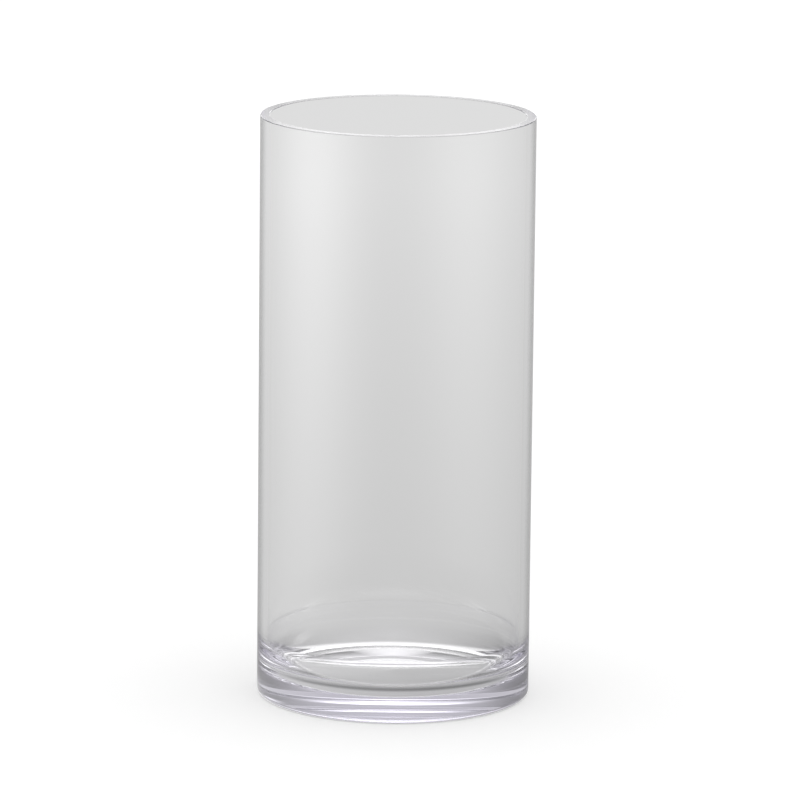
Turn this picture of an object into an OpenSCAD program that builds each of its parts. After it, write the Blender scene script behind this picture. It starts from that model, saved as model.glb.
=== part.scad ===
// Heavy-based cylinder vase in clear glass.
// A drawn glass tube stands on a pressed glass base cup, and a thin film of clear adhesive bonds the two.
// Millimetres. +Z is up, and the origin is on the axis, in the plane that the foot ring stands on.

/* [Overall] */
// Outside diameter of the vase
vase_d = 140; // [100:1:180]
// Height from the foot ring to the top of the lip
vase_h = 300; // [150:1:500]

/* [Tube] */
// Thickness of the glass wall, in the tube and in the collar of the base cup
wall = 5; // [3:0.5:8]
// Rounding of the two edges of the flat, polished lip
lip_edge_r = 0.5; // [0.25:0.25:1.25]

/* [Base cup] */
// Thickness of the glass under the edge of the floor, measured up from the foot ring
base_t = 10; // [9:0.5:20]
// Radius of the inside corner where it leaves the floor
floor_fillet_r = 15.5; // [10:0.5:20]
// Radius of the inside corner where it runs up into the wall
wall_fillet_r = 25; // [20.5:0.5:32]
// Angle of the inside corner that has the wall's radius, measured down from the level
wall_fillet_angle = 36; // [20:2:60]
// How far the middle of the floor dips below its edge
dish_depth = 1; // [0.5:0.25:4]
// Height of straight wall between the inside corner and the joint
collar_h = 1; // [1:0.5:20]
// Width of the flat ring ground on the underside
foot_w = 2.5; // [1.5:0.5:20]
// Height of the shallow dome inside the foot ring
punt_h = 3; // [1:0.25:4]
// Radius of the rounded outside corner at the bottom
corner_r = 2.5; // [0.5:0.25:4]

/* [Adhesive] */
// Thickness of the adhesive film
film_t = 0.1; // [0.05:0.01:0.5]
// How far the film stays back from both faces of the wall
film_setback = 0.2; // [0.1:0.05:0.5]

/* [Hidden] */
$fn = 256;
// Segments of a whole circle as large as the dish or the dome, fine enough for their short arcs
cap_fn = 4096;
// Length by which a cutting shape runs past the glass
past = 1;
// Depth by which each arc of the inside corner crosses the curve beside it, so that they meet cleanly
cross = 0.005;

outer_r = vase_d / 2;
bore_r = outer_r - wall;

// The inside corner is two arcs that meet almost on a tangent. Each centre has a radius and a height.
fillet_centre_gap = wall_fillet_r - floor_fillet_r + cross;
wall_fillet_x = bore_r - wall_fillet_r;
floor_fillet_x = wall_fillet_x + fillet_centre_gap * cos(wall_fillet_angle);

// The dish is part of a sphere, and the corner's lower arc meets it almost on a tangent.
dish_r = cap_radius(floor_fillet_x, dish_depth);
dish_z = base_t - dish_depth + dish_r;
floor_fillet_z = dish_z - sqrt(pow(dish_r - floor_fillet_r + cross, 2) - pow(floor_fillet_x, 2));
wall_fillet_z = floor_fillet_z + fillet_centre_gap * sin(wall_fillet_angle);

// The dome under the base springs from the inside edge of the foot ring.
dome_edge_r = outer_r - corner_r - foot_w;
dome_r = cap_radius(dome_edge_r, punt_h);

joint_z = wall_fillet_z + collar_h;
tube_z = joint_z + film_t;

// Radius of the sphere whose cap has this edge radius and this depth
function cap_radius(edge_r, depth) = (edge_r * edge_r + depth * depth) / (2 * depth);

// Half of a section, kept to the side of the axis that rotate_extrude turns
module right_half() {
    intersection() {
        children();
        translate([0, -past]) square([outer_r + past, vase_h + 2 * past]);
    }
}

// The tube's wall in section: straight, with a flat lip whose two edges are rounded
module tube_section() {
    translate([bore_r, tube_z]) square([wall, vase_h - lip_edge_r - tube_z]);
    translate([bore_r + lip_edge_r, tube_z]) square([wall - 2 * lip_edge_r, vase_h - tube_z]);
    for (x = [bore_r + lip_edge_r, outer_r - lip_edge_r])
        translate([x, vase_h - lip_edge_r]) circle(r = lip_edge_r);
}

// The outside of the base cup in section, with its rounded bottom corner
module cup_outline() {
    square([outer_r - corner_r, joint_z]);
    translate([0, corner_r]) square([outer_r, joint_z - corner_r]);
    translate([outer_r - corner_r, corner_r]) circle(r = corner_r);
}

// The hollow of the cup in section: dished floor, two-arc corner and straight collar
module cup_hollow() {
    // The dish, as far out as the line through the centres of the dish and of the corner's lower arc
    reach = (dish_r + past) / (dish_r - floor_fillet_r);
    intersection() {
        translate([0, dish_z]) circle(r = dish_r, $fn = cap_fn);
        polygon([
            [0, dish_z],
            [0, dish_z - dish_r - past],
            [floor_fillet_x * reach, dish_z - (dish_z - floor_fillet_z) * reach]
        ]);
        square([bore_r, wall_fillet_z]);
    }
    translate([floor_fillet_x, floor_fillet_z]) circle(r = floor_fillet_r);
    // The upper arc, between the level through its centre and the line through both arcs' centres
    intersection() {
        translate([wall_fillet_x, wall_fillet_z]) circle(r = wall_fillet_r);
        polygon([
            [wall_fillet_x, wall_fillet_z],
            [wall_fillet_x + 2 * wall_fillet_r * cos(wall_fillet_angle),
                wall_fillet_z - 2 * wall_fillet_r * sin(wall_fillet_angle)],
            [wall_fillet_x + 2 * wall_fillet_r, wall_fillet_z]
        ]);
    }
    translate([0, wall_fillet_z]) square([bore_r, collar_h + past]);
}

// The shallow dome under the base in section
module punt_section() {
    translate([0, punt_h - dome_r]) circle(r = dome_r, $fn = cap_fn);
}

module wall_tube() {
    color("gainsboro", 0.35) rotate_extrude() tube_section();
}

module base_cup() {
    color("lavender", 0.45) rotate_extrude() right_half() difference() {
        cup_outline();
        cup_hollow();
        punt_section();
    }
}

module bond_film() {
    color("whitesmoke", 0.5) translate([0, 0, joint_z]) difference() {
        cylinder(h = film_t, r = outer_r - film_setback);
        translate([0, 0, -past]) cylinder(h = film_t + 2 * past, r = bore_r + film_setback);
    }
}

wall_tube();
base_cup();
bond_film();
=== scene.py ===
import math

import bpy
import numpy as np
from mathutils import Matrix, Vector


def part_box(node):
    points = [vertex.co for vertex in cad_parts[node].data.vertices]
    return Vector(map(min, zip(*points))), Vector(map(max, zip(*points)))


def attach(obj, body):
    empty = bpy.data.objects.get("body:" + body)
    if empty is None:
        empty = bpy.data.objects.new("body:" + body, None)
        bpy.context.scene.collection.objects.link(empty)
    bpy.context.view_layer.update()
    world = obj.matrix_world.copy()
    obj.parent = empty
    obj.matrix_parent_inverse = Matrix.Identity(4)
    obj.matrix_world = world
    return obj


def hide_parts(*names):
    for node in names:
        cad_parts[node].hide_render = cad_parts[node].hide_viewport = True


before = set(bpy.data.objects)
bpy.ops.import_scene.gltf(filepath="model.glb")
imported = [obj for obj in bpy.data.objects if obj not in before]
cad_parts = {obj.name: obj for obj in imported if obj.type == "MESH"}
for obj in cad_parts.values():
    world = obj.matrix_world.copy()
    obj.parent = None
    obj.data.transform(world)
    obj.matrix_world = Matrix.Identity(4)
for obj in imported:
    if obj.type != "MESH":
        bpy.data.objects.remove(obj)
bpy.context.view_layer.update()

# The glass cylinder vase: a drawn tube bonded to a thick base cup. Metres, +Z up, origin under the axis.
BODY = "root"

# Overall sizes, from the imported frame
CUP_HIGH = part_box("base_cup")[1]
TUBE_LOW, TUBE_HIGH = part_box("wall_tube")
FILM_LOW, FILM_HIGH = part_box("bond_film")
OUTER_R = TUBE_HIGH.x
HEIGHT = TUBE_HIGH.z
JOINT_Z = CUP_HIGH.z
TUBE_Z = TUBE_LOW.z
FILM_SETBACK = OUTER_R - FILM_HIGH.x

# Sizes of the section, the same as the CAD's own
WALL = 0.005
BASE_T = 0.010
FLOOR_FILLET_R = 0.0155
WALL_FILLET_R = 0.025
WALL_FILLET_ANGLE = math.radians(36)
DISH_DEPTH = 0.001
FOOT_W = 0.0025
PUNT_H = 0.003
CORNER_R = 0.0025
LIP_EDGE_R = 0.0005     # rounding of the two edges of the flat lip
FILM_GAP = 0.00001      # left free above and below the film, so that no two surfaces coincide

# Fineness of the turned meshes
TURNS = 384             # facets round the axis
WALL_STEPS = 60         # rings up a wall
ARC_STEPS = 28          # rings along a rounded corner
CAP_STEPS = 36          # rings across the dish and the dome
NUDGE = 1e-4            # step, in share of a stretch and in radians, that gives a point its normal

# Small unevenness of the inside, which was shaped hot and never ground
FLOOR_TILT = 0.0004     # rise of one side of the floor over the other
FLOOR_TILT_AT = math.radians(200)
CORNER_WANDER = 0.0005  # how far the inside corner wanders in and out round the vase
WALL_WANDER = 0.00006   # the same for the wall above it
UNEVEN_HEIGHT = 0.045   # height at which the corner's unevenness has died out
CORNER_LOBES = ((0.5, 2, 0.7), (0.3, 3, 2.1), (0.2, 5, 4.0))    # share, count round the vase and phase
WALL_LOBES = ((0.5, 4, 1.3), (0.3, 7, 5.2), (0.2, 11, 0.4))

# Camera, at the photograph's viewing angle
CAMERA_DISTANCE = 22.06 * 2 * OUTER_R
CAMERA_ELEVATION = math.radians(11.6)
CAMERA_ROLL = math.radians(0.59)
CAMERA_LENS = 271.9     # millimetres
CAMERA_SENSOR = 36
CAMERA_REACH = 100
CAMERA_SHIFT_X = 0.0056
CAMERA_SHIFT_Y = 0.0066

# Bounces of light, which runs a long way up and down inside the wall
BOUNCES = 128

# Studio levels, where 1 is white
SKY_PLAIN = 0.9         # what lights the floor and any matt surface
SKY_SIDE = 0.14         # what glass shows of the low sky on both sides
SKY_LOW = 0.65          # and of the low sky behind and in front
SKY_HORIZON = 1.6       # added in a strip along the horizon behind
SKY_STRIP = 0.14        # sine of the elevation where that strip ends
SKY_EDGE = 4.0          # how sharply both fade to the sides
SKY_TOP = 1.3           # overhead
SKY_TOP_FROM = 0.7      # sine of the elevation where the overhead light begins
SKY_TOP_FULL = 0.97
BACKLIGHT = 2.4         # a small lamp behind, above the horizon
BACKLIGHT_AT = 0.2      # sine of its elevation
BACKLIGHT_HALF = 0.05
BACKLIGHT_EDGE = 24.0   # how sharply it fades to the left and right
LIPLIGHT = 0.4          # a low strip behind, which the flat lip mirrors to the camera
LIPLIGHT_AT = 0.154
LIPLIGHT_HALF = 0.025
LIPLIGHT_EDGE = 4.0
SIDELIGHT = 2.0         # a second small lamp, behind and to the right
SIDELIGHT_TURN = math.radians(112)
SIDELIGHT_AT = 0.44
SIDELIGHT_HALF = 0.12
FLOOR_NEAR = 0.60       # painted level of the floor seen through the glass, close to the vase, where it is darker than far off
FLOOR_FAR = 0.735       # and a long way off
FLOOR_FAR_AT = 1.6
FLOOR_SIDE = 0.05       # painted shade: how much darker it is on the right than straight behind
FLOOR_FRONT = 0.10      # and on the camera's side
# Painted reflection: the levels below are painted on the floor for rays that the glass's outside mirrors,
# with two softboxes painted as pools of light.
MIRROR_FRONT = 0.3      # what the glass's outside mirrors of the floor on the camera's side
MIRROR_BACK = 0.5       # and behind
SOFTBOX_LEFT_AT = math.radians(-68)
SOFTBOX_LEFT = 2.8
SOFTBOX_RIGHT_AT = math.radians(58)
SOFTBOX_RIGHT = 1.5
SOFTBOX_EDGE = 5.0      # how sharply the painted softbox pools on the floor fade round the vase
SOFTBOX_NEAR = 0.35     # their share low on the wall, which mirrors the floor close by
SOFTBOX_FAR = 1.05      # and high on the wall
FOOT_PAINTED_SHADE = 0.3        # painted shade taken in front from the floor just inside the foot
FOOT_PAINTED_GLOW = 0.9         # painted light added behind to the ring of floor under the rounded foot, standing in for the light it gathers there
FOOT_GLOW_HALF = 0.005
FOOT_SHADE_IN = 0.008   # distance of that shade's middle in from the outside of the vase
FOOT_SHADE_HALF = 0.006
FOOT_TURN_FULL = 0.7    # cosine from straight ahead or behind, where both reach their full level
FOOT_TURN_NONE = 0.1    # and how far past the sides they die out
FOOT_SIDE = 0.3         # painted shade taken from the floor close to the foot, on both sides
FOOT_SIDE_IN = 0.004    # distance over which that comes in, outside the foot
FOOT_REACH = 0.2        # distance from the axis where it has died out
FLOOR_HALF = 6.0        # half the floor's width
FLOOR_DROP = 0.0003     # gap that keeps the foot ring clear of the floor
FLOOR_ALBEDO = 0.8
FLOOR_GLOW = 0.36       # added for the camera only, so that the lit floor is just white
EDGE_PAINTED_SHADE = 0.45        # painted shade: the share of the outer wall's base colour kept where glass is seen edge on
EDGE_FROM = 0.70        # facing value where that darkening begins
EDGE_FULL = 0.82

# The glass and its surface
GLASS_IOR = 1.5         # the adhesive has the same
TUBE_TINT = (0.90, 0.90, 0.90)
TUBE_DENSITY = 1.5
CUP_TINT = (0.84, 0.81, 0.93)
CUP_DENSITY = 7.0
WAVE_SCALE = 40.0       # waves to the metre, round the vase
WAVE_STRETCH = 0.08     # how much longer they are up the wall than round it
TUBE_WAVE = 0.00006     # their height in the drawn tube
CUP_WAVE = 0.00002      # and in the pressed cup
FROST_SCALE = 900.0
FROST_LOW = 0.25        # roughness of the ground foot ring
FROST_HIGH = 0.45
FLOW_SCALE = 300.0      # flow marks in the adhesive
FLOW_LOW = 0.05         # and its roughness
FLOW_HIGH = 0.2
ADHESIVE_TINT = (0.97, 0.97, 0.97)
NOISE_SPAN = (0.3, 0.7)     # where nearly all of a noise's values lie


# ---------------------------------------------------------------- turned glass

def line(a, b):
    """A straight stretch of a section, from a to b."""
    return lambda t: (a[0] + (b[0] - a[0]) * t, a[1] + (b[1] - a[1]) * t)


def arc(centre, radius, start, end):
    """A round stretch of a section, between two angles in radians from the level."""
    def at(t):
        angle = start + (end - start) * t
        return centre[0] + radius * np.cos(angle), centre[1] + radius * np.sin(angle)
    return at


def lobed(lobes, theta):
    """A smooth wander round the vase, between -1 and 1."""
    return sum(share * np.cos(count * theta + phase) for share, count, phase in lobes)


def uneven(r, z, theta):
    """Moves a point of the inside surface by the glass's small unevenness."""
    low = np.clip(1 - z / UNEVEN_HEIGHT, 0, 1) ** 2
    floor = FLOOR_TILT / (2 * OUTER_R) * r * np.cos(theta - FLOOR_TILT_AT)
    near_wall = np.clip(r / OUTER_R, 0, 1) ** 3
    corner = CORNER_WANDER * low * lobed(CORNER_LOBES, theta)
    out = near_wall * (corner + WALL_WANDER * lobed(WALL_LOBES, theta))
    return r + out, z + floor * low


def surface_points(stretch, t, theta, inside):
    """Points of one stretch turned round the axis, as an array of rings by facets by three."""
    r, z = stretch(t)
    r, z = (np.broadcast_to(x, t.shape)[:, None] * np.ones_like(theta)[None, :] for x in (r, z))
    theta = np.ones_like(t)[:, None] * theta[None, :]
    if inside:
        r, z = uneven(r, z, theta)
    return np.stack((r * np.cos(theta), r * np.sin(theta), z), axis=-1)


def turned(name, stretches, closed):
    """A mesh turned round the axis, with exact normals. Each stretch is (curve, steps, kind)."""
    theta = np.arange(TURNS) * 2 * math.pi / TURNS
    points, faces, normals, kinds = [], [], [], []
    count = 0
    before = None
    first = None
    for number, (curve, steps, kind) in enumerate(stretches):
        inside = kind == "inside"
        t = np.linspace(0, 1, steps + 1)
        here = surface_points(curve, t, theta, inside)
        low_t = np.clip(t - NUDGE, 0, 1)
        high_t = np.clip(t + NUDGE, 0, 1)
        along = surface_points(curve, high_t, theta, inside) - surface_points(curve, low_t, theta, inside)
        ahead = surface_points(curve, t, theta + NUDGE, inside)
        around = ahead - surface_points(curve, t, theta - NUDGE, inside)
        normal = np.cross(around, along)
        length = np.linalg.norm(normal, axis=-1, keepdims=True)
        normal = normal / np.maximum(length, 1e-16)
        # On the axis there is no way round, so the normal there is the mean of the ring beside it.
        for pole, beside in ((0, 1), (steps, steps - 1)):
            if length[pole].max() < 1e-14:
                normal[pole] = normal[beside].mean(axis=0)
        rings = []
        for i in range(steps + 1):
            if i == 0 and before is not None:
                rings.append(before)
                continue
            if i == steps and number == len(stretches) - 1 and closed:
                rings.append(first)
                continue
            on_axis = np.hypot(here[i, 0, 0], here[i, 0, 1]) < 1e-7
            if on_axis:
                points.append(here[i, 0])
                rings.append(np.full(TURNS, count))
                count += 1
            else:
                points.extend(here[i])
                rings.append(np.arange(count, count + TURNS))
                count += TURNS
        if first is None:
            first = rings[0]
        before = rings[-1]
        for i in range(steps):
            a, b = rings[i], rings[i + 1]
            for k in range(TURNS):
                n = (k + 1) % TURNS
                near, far = normal[i], normal[i + 1]
                corners = [(a[k], near[k]), (b[k], far[k]), (b[n], far[n]), (a[n], near[n])]
                if a[k] == a[n]:
                    corners = corners[:3]
                elif b[k] == b[n]:
                    corners = [corners[0], corners[1], corners[3]]
                faces.append([int(c[0]) for c in corners])
                normals.extend(c[1] for c in corners)
                kinds.append(kind)
    mesh = bpy.data.meshes.new(name)
    mesh.from_pydata([tuple(p) for p in points], [], faces)
    mesh.update()
    mesh.polygons.foreach_set("use_smooth", [True] * len(faces))
    normals = np.array(normals)
    outward = sum(Vector(f.normal).dot(Vector(normals[f.loop_start])) > 0 for f in mesh.polygons)
    if outward < len(faces) / 2:
        normals = -normals
    mesh.normals_split_custom_set([tuple(n) for n in normals])
    for kind in ("bonded", "outer_wall", "ground"):
        mark = mesh.attributes.new(kind, "FLOAT", "FACE")
        mark.data.foreach_set("value", [float(k == kind) for k in kinds])
    piece = bpy.data.objects.new(name, mesh)
    bpy.context.scene.collection.objects.link(piece)
    return piece


def cap(edge_r, depth):
    """Radius of the sphere whose cap has this edge radius and depth, and half the cap's angle."""
    radius = (edge_r ** 2 + depth ** 2) / (2 * depth)
    return radius, math.asin(edge_r / radius)


def make_tube():
    bore = OUTER_R - WALL
    inner = (bore + LIP_EDGE_R, HEIGHT - LIP_EDGE_R)
    outer = (OUTER_R - LIP_EDGE_R, HEIGHT - LIP_EDGE_R)
    return turned("tube_glass", [
        (line((bore, TUBE_Z), (bore, inner[1])), WALL_STEPS, "inside"),
        (arc(inner, LIP_EDGE_R, math.pi, math.pi / 2), ARC_STEPS, "inside"),
        (line((inner[0], HEIGHT), (outer[0], HEIGHT)), 4, "lip"),
        (arc(outer, LIP_EDGE_R, math.pi / 2, 0), ARC_STEPS, "lip"),
        (line((OUTER_R, outer[1]), (OUTER_R, TUBE_Z)), WALL_STEPS, "outer_wall"),
        (line((OUTER_R, TUBE_Z), (bore, TUBE_Z)), 1, "bonded"),
    ], True)


def make_cup():
    bore = OUTER_R - WALL
    gap = WALL_FILLET_R - FLOOR_FILLET_R
    wall_x = bore - WALL_FILLET_R
    floor_x = wall_x + gap * math.cos(WALL_FILLET_ANGLE)
    dish_r = cap(floor_x, DISH_DEPTH)[0]
    dish_z = BASE_T - DISH_DEPTH + dish_r
    floor_z = dish_z - math.sqrt((dish_r - FLOOR_FILLET_R) ** 2 - floor_x ** 2)
    wall_z = floor_z + gap * math.sin(WALL_FILLET_ANGLE)
    meet = math.atan2(floor_z - dish_z, floor_x)
    dome_edge = OUTER_R - CORNER_R - FOOT_W
    dome_r, dome_half = cap(dome_edge, PUNT_H)
    down = -math.pi / 2
    return turned("cup_glass", [
        (arc((0, dish_z), dish_r, down, meet), CAP_STEPS, "inside"),
        (arc((floor_x, floor_z), FLOOR_FILLET_R, meet, -WALL_FILLET_ANGLE), ARC_STEPS, "inside"),
        (arc((wall_x, wall_z), WALL_FILLET_R, -WALL_FILLET_ANGLE, 0), ARC_STEPS, "inside"),
        (line((bore, wall_z), (bore, JOINT_Z)), 2, "inside"),
        (line((bore, JOINT_Z), (OUTER_R, JOINT_Z)), 1, "bonded"),
        (line((OUTER_R, JOINT_Z), (OUTER_R, CORNER_R)), ARC_STEPS, "outer_wall"),
        (arc((OUTER_R - CORNER_R, CORNER_R), CORNER_R, 0, down), ARC_STEPS, "foot"),
        (line((OUTER_R - CORNER_R, 0), (dome_edge, 0)), 2, "ground"),
        (arc((0, PUNT_H - dome_r), dome_r, math.pi / 2 - dome_half, math.pi / 2), CAP_STEPS, "foot"),
    ], False)


def make_film():
    inner, outer = OUTER_R - WALL + FILM_SETBACK, OUTER_R - FILM_SETBACK
    low, high = FILM_LOW.z + FILM_GAP, FILM_HIGH.z - FILM_GAP
    return turned("adhesive_film", [
        (line((inner, low), (inner, high)), 1, "edge"),
        (line((inner, high), (outer, high)), 1, "bonded"),
        (line((outer, high), (outer, low)), 1, "edge"),
        (line((outer, low), (inner, low)), 1, "bonded"),
    ], True)


# ---------------------------------------------------------------- node helpers

class Nodes:
    """Short calls that add nodes to one tree."""

    def __init__(self, owner):
        owner.use_nodes = True
        self.tree = owner.node_tree
        self.tree.nodes.clear()

    def add(self, kind, **settings):
        node = self.tree.nodes.new(kind)
        for key, value in settings.items():
            setattr(node, key, value)
        return node

    def link(self, output, socket):
        self.tree.links.new(output, socket)

    def put(self, value, socket):
        if isinstance(value, (int, float, tuple)):
            socket.default_value = value
        else:
            self.link(value, socket)

    def math(self, operation, *values):
        node = self.add("ShaderNodeMath", operation=operation)
        for value, socket in zip(values, node.inputs):
            self.put(value, socket)
        return node.outputs[0]

    def linear(self, value, low, high, at_low, at_high, kind="LINEAR"):
        """A value that goes from at_low to at_high while the given one goes from low to high."""
        node = self.add("ShaderNodeMapRange", interpolation_type=kind)
        for given, socket in zip((value, low, high, at_low, at_high), node.inputs):
            self.put(given, socket)
        return node.outputs[0]

    def ramp(self, *values):
        """The same with soft ends."""
        return self.linear(*values, kind="SMOOTHSTEP")

    def mark(self, name):
        """A mark that turned() left on the faces of one kind."""
        return self.add("ShaderNodeAttribute", attribute_name=name).outputs["Fac"]

    def noise(self, place, stretch, scale, detail):
        scaled = self.add("ShaderNodeVectorMath", operation="MULTIPLY")
        self.link(place, scaled.inputs[0])
        scaled.inputs[1].default_value = stretch
        node = self.add("ShaderNodeTexNoise")
        node.inputs["Scale"].default_value = scale
        node.inputs["Detail"].default_value = detail
        self.link(scaled.outputs[0], node.inputs["Vector"])
        return node.outputs["Fac"]

    def towards(self, direction, angle):
        """Cosine between a level direction and an angle round the vase, where 0 is the camera's side."""
        node = self.add("ShaderNodeVectorMath", operation="DOT_PRODUCT")
        self.link(direction, node.inputs[0])
        node.inputs[1].default_value = (math.sin(angle), -math.cos(angle), 0)
        return node.outputs["Value"]

    def paint_light_pool(self, direction, angle, level):
        """A soft-edged pool of painted light on the floor, at an angle round the vase."""
        facing = self.math("MAXIMUM", self.towards(direction, angle), 0.0)
        return self.math("MULTIPLY", self.math("POWER", facing, SOFTBOX_EDGE), level)

    def lamp(self, up, at, half, facing, edge, level):
        """A small soft lamp in the sky, at a height and an angle."""
        off = self.math("ABSOLUTE", self.math("SUBTRACT", up, at))
        across = self.math("POWER", self.math("MAXIMUM", facing, 0.0), edge)
        return self.math("MULTIPLY", self.ramp(off, half / 2, half, level, 0.0), across)

    def level_direction(self, vector):
        flat = self.add("ShaderNodeVectorMath", operation="MULTIPLY")
        self.link(vector, flat.inputs[0])
        flat.inputs[1].default_value = (1, 1, 0)
        unit = self.add("ShaderNodeVectorMath", operation="NORMALIZE")
        self.link(flat.outputs[0], unit.inputs[0])
        return unit.outputs[0]

    def through_glass(self):
        """1 for a ray that glass reflects or lets through."""
        path = self.add("ShaderNodeLightPath")
        return self.math("MAXIMUM", path.outputs["Is Glossy Ray"], path.outputs["Is Transmission Ray"])


# ---------------------------------------------------------------- materials

def glass(name, tint, density, wave):
    """Clear glass with a tint in its depth and slight waves outside, and painted shade in its base colour
    where the outer wall is seen edge on. A bonded face doesn't bend light.
    """
    material = bpy.data.materials.new(name)
    n = Nodes(material)
    out = n.add("ShaderNodeOutputMaterial")
    shader = n.add("ShaderNodeBsdfPrincipled")
    shader.inputs["Transmission Weight"].default_value = 1
    # Painted shade: the outer wall's base colour darkens where it is seen edge on, standing in for light
    # lost along the wall.
    edge_on = n.add("ShaderNodeLayerWeight").outputs["Facing"]
    painted_edge_shade = n.linear(edge_on, EDGE_FROM, EDGE_FULL, 0.0, 1 - EDGE_PAINTED_SHADE)
    left = n.math("SUBTRACT", 1.0, n.math("MULTIPLY", painted_edge_shade, n.mark("outer_wall")))
    painted_edge_colour = n.add("ShaderNodeCombineColor")
    for socket in painted_edge_colour.inputs:
        n.link(left, socket)
    n.link(painted_edge_colour.outputs[0], shader.inputs["Base Color"])
    n.link(n.ramp(n.mark("bonded"), 0.0, 1.0, GLASS_IOR, 1.0), shader.inputs["IOR"])
    place = n.add("ShaderNodeTexCoord").outputs["Object"]
    frost = n.linear(n.noise(place, (1, 1, 1), FROST_SCALE, 2), *NOISE_SPAN, FROST_LOW, FROST_HIGH)
    n.link(n.math("MULTIPLY", n.mark("ground"), frost), shader.inputs["Roughness"])
    bump = n.add("ShaderNodeBump")
    bump.inputs["Distance"].default_value = wave
    n.link(n.mark("outer_wall"), bump.inputs["Strength"])
    n.link(n.noise(place, (1, 1, WAVE_STRETCH), WAVE_SCALE, 0), bump.inputs["Height"])
    n.link(bump.outputs[0], shader.inputs["Normal"])
    absorb = n.add("ShaderNodeVolumeAbsorption")
    absorb.inputs["Color"].default_value = (*tint, 1)
    absorb.inputs["Density"].default_value = density
    n.link(shader.outputs[0], out.inputs["Surface"])
    n.link(absorb.outputs[0], out.inputs["Volume"])
    return material


def adhesive(name):
    """Cured adhesive: a little cloudy, with fine flow marks."""
    material = bpy.data.materials.new(name)
    n = Nodes(material)
    out = n.add("ShaderNodeOutputMaterial")
    shader = n.add("ShaderNodeBsdfPrincipled")
    shader.inputs["Base Color"].default_value = (*ADHESIVE_TINT, 1)
    shader.inputs["Transmission Weight"].default_value = 1
    n.link(n.ramp(n.mark("bonded"), 0.0, 1.0, GLASS_IOR, 1.0), shader.inputs["IOR"])
    place = n.add("ShaderNodeTexCoord").outputs["Object"]
    flow = n.noise(place, (1, 1, 1), FLOW_SCALE, 2)
    n.link(n.linear(flow, *NOISE_SPAN, FLOW_LOW, FLOW_HIGH), shader.inputs["Roughness"])
    n.link(shader.outputs[0], out.inputs["Surface"])
    return material


# ---------------------------------------------------------------- studio

def make_world():
    world = bpy.data.worlds.new("studio")
    bpy.context.scene.world = world
    n = Nodes(world)
    out = n.add("ShaderNodeOutputWorld")
    shown = n.add("ShaderNodeBackground")
    plain = n.add("ShaderNodeBackground")
    plain.inputs["Strength"].default_value = SKY_PLAIN
    camera_white = n.add("ShaderNodeBackground")
    direction = n.add("ShaderNodeTexCoord").outputs["Generated"]
    split = n.add("ShaderNodeSeparateXYZ")
    n.link(direction, split.inputs[0])
    up = split.outputs["Z"]
    behind = n.towards(n.level_direction(direction), math.pi)
    in_line = n.math("POWER", n.math("ABSOLUTE", behind), SKY_EDGE)
    low = n.linear(in_line, 0.0, 1.0, SKY_SIDE, SKY_LOW)
    back = n.math("POWER", n.math("MAXIMUM", behind, 0.0), SKY_EDGE)
    horizon = n.math("MULTIPLY", back, n.ramp(up, SKY_STRIP / 2, SKY_STRIP, SKY_HORIZON, 0.0))
    top = n.ramp(up, SKY_TOP_FROM, SKY_TOP_FULL, 0.0, SKY_TOP - SKY_LOW)
    backlight = n.lamp(up, BACKLIGHT_AT, BACKLIGHT_HALF, behind, BACKLIGHT_EDGE, BACKLIGHT)
    turned_right = n.towards(n.level_direction(direction), SIDELIGHT_TURN)
    sidelight = n.lamp(up, SIDELIGHT_AT, SIDELIGHT_HALF, turned_right, BACKLIGHT_EDGE, SIDELIGHT)
    liplight = n.lamp(up, LIPLIGHT_AT, LIPLIGHT_HALF, behind, LIPLIGHT_EDGE, LIPLIGHT)
    lamps = n.math("ADD", n.math("ADD", backlight, sidelight), liplight)
    n.link(n.math("ADD", n.math("ADD", low, top), n.math("ADD", horizon, lamps)), shown.inputs["Strength"])
    path = n.add("ShaderNodeLightPath")
    glassy = n.add("ShaderNodeMixShader")
    n.link(n.through_glass(), glassy.inputs[0])
    n.link(plain.outputs[0], glassy.inputs[1])
    n.link(shown.outputs[0], glassy.inputs[2])
    seen = n.add("ShaderNodeMixShader")
    n.link(path.outputs["Is Camera Ray"], seen.inputs[0])
    n.link(glassy.outputs[0], seen.inputs[1])
    n.link(camera_white.outputs[0], seen.inputs[2])
    n.link(seen.outputs[0], out.inputs["Surface"])
    for node in (shown, plain, camera_white):
        node.inputs["Color"].default_value = (1, 1, 1, 1)
    camera_white.inputs["Strength"].default_value = 1


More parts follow.
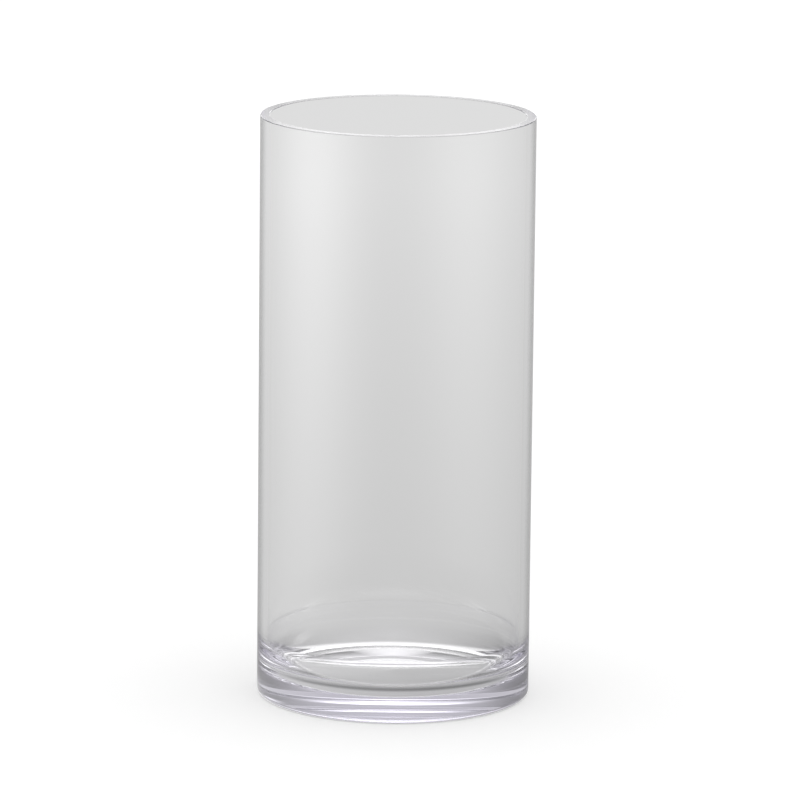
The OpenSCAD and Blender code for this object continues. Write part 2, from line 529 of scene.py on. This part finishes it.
def make_floor():
    mesh = bpy.data.meshes.new("floor")
    half = FLOOR_HALF
    corners = [(x, y, -FLOOR_DROP) for x, y in ((-half, -half), (half, -half), (half, half), (-half, half))]
    mesh.from_pydata(corners, [], [(0, 1, 2, 3)])
    floor = bpy.data.objects.new("floor", mesh)
    bpy.context.scene.collection.objects.link(floor)
    material = bpy.data.materials.new("pale_floor")
    n = Nodes(material)
    out = n.add("ShaderNodeOutputMaterial")
    matt = n.add("ShaderNodeBsdfDiffuse")
    matt.inputs["Color"].default_value = (FLOOR_ALBEDO, FLOOR_ALBEDO, FLOOR_ALBEDO, 1)
    glow = n.add("ShaderNodeEmission")
    path = n.add("ShaderNodeLightPath")
    n.link(n.math("MULTIPLY", path.outputs["Is Camera Ray"], FLOOR_GLOW), glow.inputs["Strength"])
    both = n.add("ShaderNodeAddShader")
    n.link(matt.outputs[0], both.inputs[0])
    n.link(glow.outputs[0], both.inputs[1])
    # Painted light and shade: glass sees the floor as an emission whose level is painted below, darker
    # close to the vase, on the right and on the camera's side.
    shown = n.add("ShaderNodeEmission")
    position = n.add("ShaderNodeNewGeometry").outputs["Position"]
    flat = n.level_direction(position)
    size = n.add("ShaderNodeVectorMath", operation="LENGTH")
    n.link(position, size.inputs[0])
    away = size.outputs["Value"]
    base = n.linear(away, OUTER_R, FLOOR_FAR_AT, FLOOR_NEAR, FLOOR_FAR)
    front = n.towards(flat, 0.0)
    front_painted_shade = n.math("MULTIPLY", n.math("ADD", front, 1.0), -0.5 * FLOOR_FRONT)
    side_painted_shade = n.math("MULTIPLY", n.towards(flat, math.pi / 2), -FLOOR_SIDE)
    # Painted shade on the floor close to the foot, on both sides.
    beside = n.linear(away, OUTER_R, OUTER_R + FOOT_SIDE_IN, 0.0, 1.0)
    close = n.math("MULTIPLY", beside, n.linear(away, OUTER_R, FOOT_REACH, 1.0, 0.0))
    near_foot_painted_shade = n.math("MULTIPLY", n.math("SUBTRACT", 1.0, n.math("MULTIPLY", front, front)), -FOOT_SIDE)
    off_ring = n.math("ABSOLUTE", n.math("SUBTRACT", away, OUTER_R))
    half_behind = n.ramp(front, -FOOT_TURN_FULL, FOOT_TURN_NONE, 1.0, 0.0)
    half_ahead = n.ramp(front, -FOOT_TURN_NONE, FOOT_TURN_FULL, 0.0, 1.0)
    # Painted highlight: a glowing ring of floor behind, under the rounded foot.
    ring = n.math("MULTIPLY", half_behind, n.ramp(off_ring, 0.0, FOOT_GLOW_HALF, FOOT_PAINTED_GLOW, 0.0))
    # Painted shade in front, on the floor just inside the foot.
    off_shade = n.math("ABSOLUTE", n.math("SUBTRACT", away, OUTER_R - FOOT_SHADE_IN))
    shade = n.math("MULTIPLY", half_ahead, n.ramp(off_shade, 0.0, FOOT_SHADE_HALF, -FOOT_PAINTED_SHADE, 0.0))
    foot = n.math("ADD", n.math("MULTIPLY", near_foot_painted_shade, close), n.math("ADD", ring, shade))
    through = n.math("ADD", n.math("ADD", n.math("ADD", base, front_painted_shade), side_painted_shade), foot)
    # Painted reflection: pools of painted light on the floor, which the glass's outside mirrors.
    reach = n.linear(away, OUTER_R, FLOOR_FAR_AT, SOFTBOX_NEAR, SOFTBOX_FAR)
    left = n.paint_light_pool(flat, SOFTBOX_LEFT_AT, SOFTBOX_LEFT)
    right = n.paint_light_pool(flat, SOFTBOX_RIGHT_AT, SOFTBOX_RIGHT)
    both_painted_pools = n.math("MULTIPLY", n.math("ADD", left, right), reach)
    painted_reflection = n.math("ADD", n.ramp(front, -1.0, 1.0, MIRROR_BACK, MIRROR_FRONT), both_painted_pools)
    level = n.add("ShaderNodeMix")
    n.link(path.outputs["Is Transmission Ray"], level.inputs["Factor"])
    n.link(painted_reflection, level.inputs["A"])
    n.link(through, level.inputs["B"])
    n.link(level.outputs["Result"], shown.inputs["Strength"])
    mix = n.add("ShaderNodeMixShader")
    n.link(n.through_glass(), mix.inputs[0])
    n.link(both.outputs[0], mix.inputs[1])
    n.link(shown.outputs[0], mix.inputs[2])
    n.link(mix.outputs[0], out.inputs["Surface"])
    mesh.materials.append(material)


def make_camera():
    data = bpy.data.cameras.new("camera")
    camera = bpy.data.objects.new("camera", data)
    bpy.context.scene.collection.objects.link(camera)
    bpy.context.scene.camera = camera
    data.lens = CAMERA_LENS
    data.sensor_width = CAMERA_SENSOR
    data.shift_x = CAMERA_SHIFT_X
    data.shift_y = CAMERA_SHIFT_Y
    data.clip_end = CAMERA_REACH
    back = Vector((0, -math.cos(CAMERA_ELEVATION), math.sin(CAMERA_ELEVATION)))
    camera.location = Vector((0, 0, HEIGHT / 2)) + back * CAMERA_DISTANCE
    camera.rotation_mode = "QUATERNION"
    level = (-back).to_track_quat("-Z", "Y")
    camera.rotation_quaternion = level @ Matrix.Rotation(CAMERA_ROLL, 4, "Z").to_quaternion()


# ---------------------------------------------------------------- the scene

scene = bpy.context.scene
scene.view_settings.view_transform = "Standard"
scene.cycles.max_bounces = BOUNCES
scene.cycles.glossy_bounces = BOUNCES
scene.cycles.transmission_bounces = BOUNCES

tube = make_tube()
cup = make_cup()
film = make_film()
tube.data.materials.append(glass("tube_glass", TUBE_TINT, TUBE_DENSITY, TUBE_WAVE))
cup.data.materials.append(glass("cup_glass", CUP_TINT, CUP_DENSITY, CUP_WAVE))
film.data.materials.append(adhesive("adhesive"))
for piece, node, slot in ((tube, "wall_tube", "wall_glass"), (cup, "base_cup", "base_glass"),
                          (film, "bond_film", "adhesive")):
    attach(piece, BODY)
    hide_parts(node)

make_floor()
make_world()
make_camera()
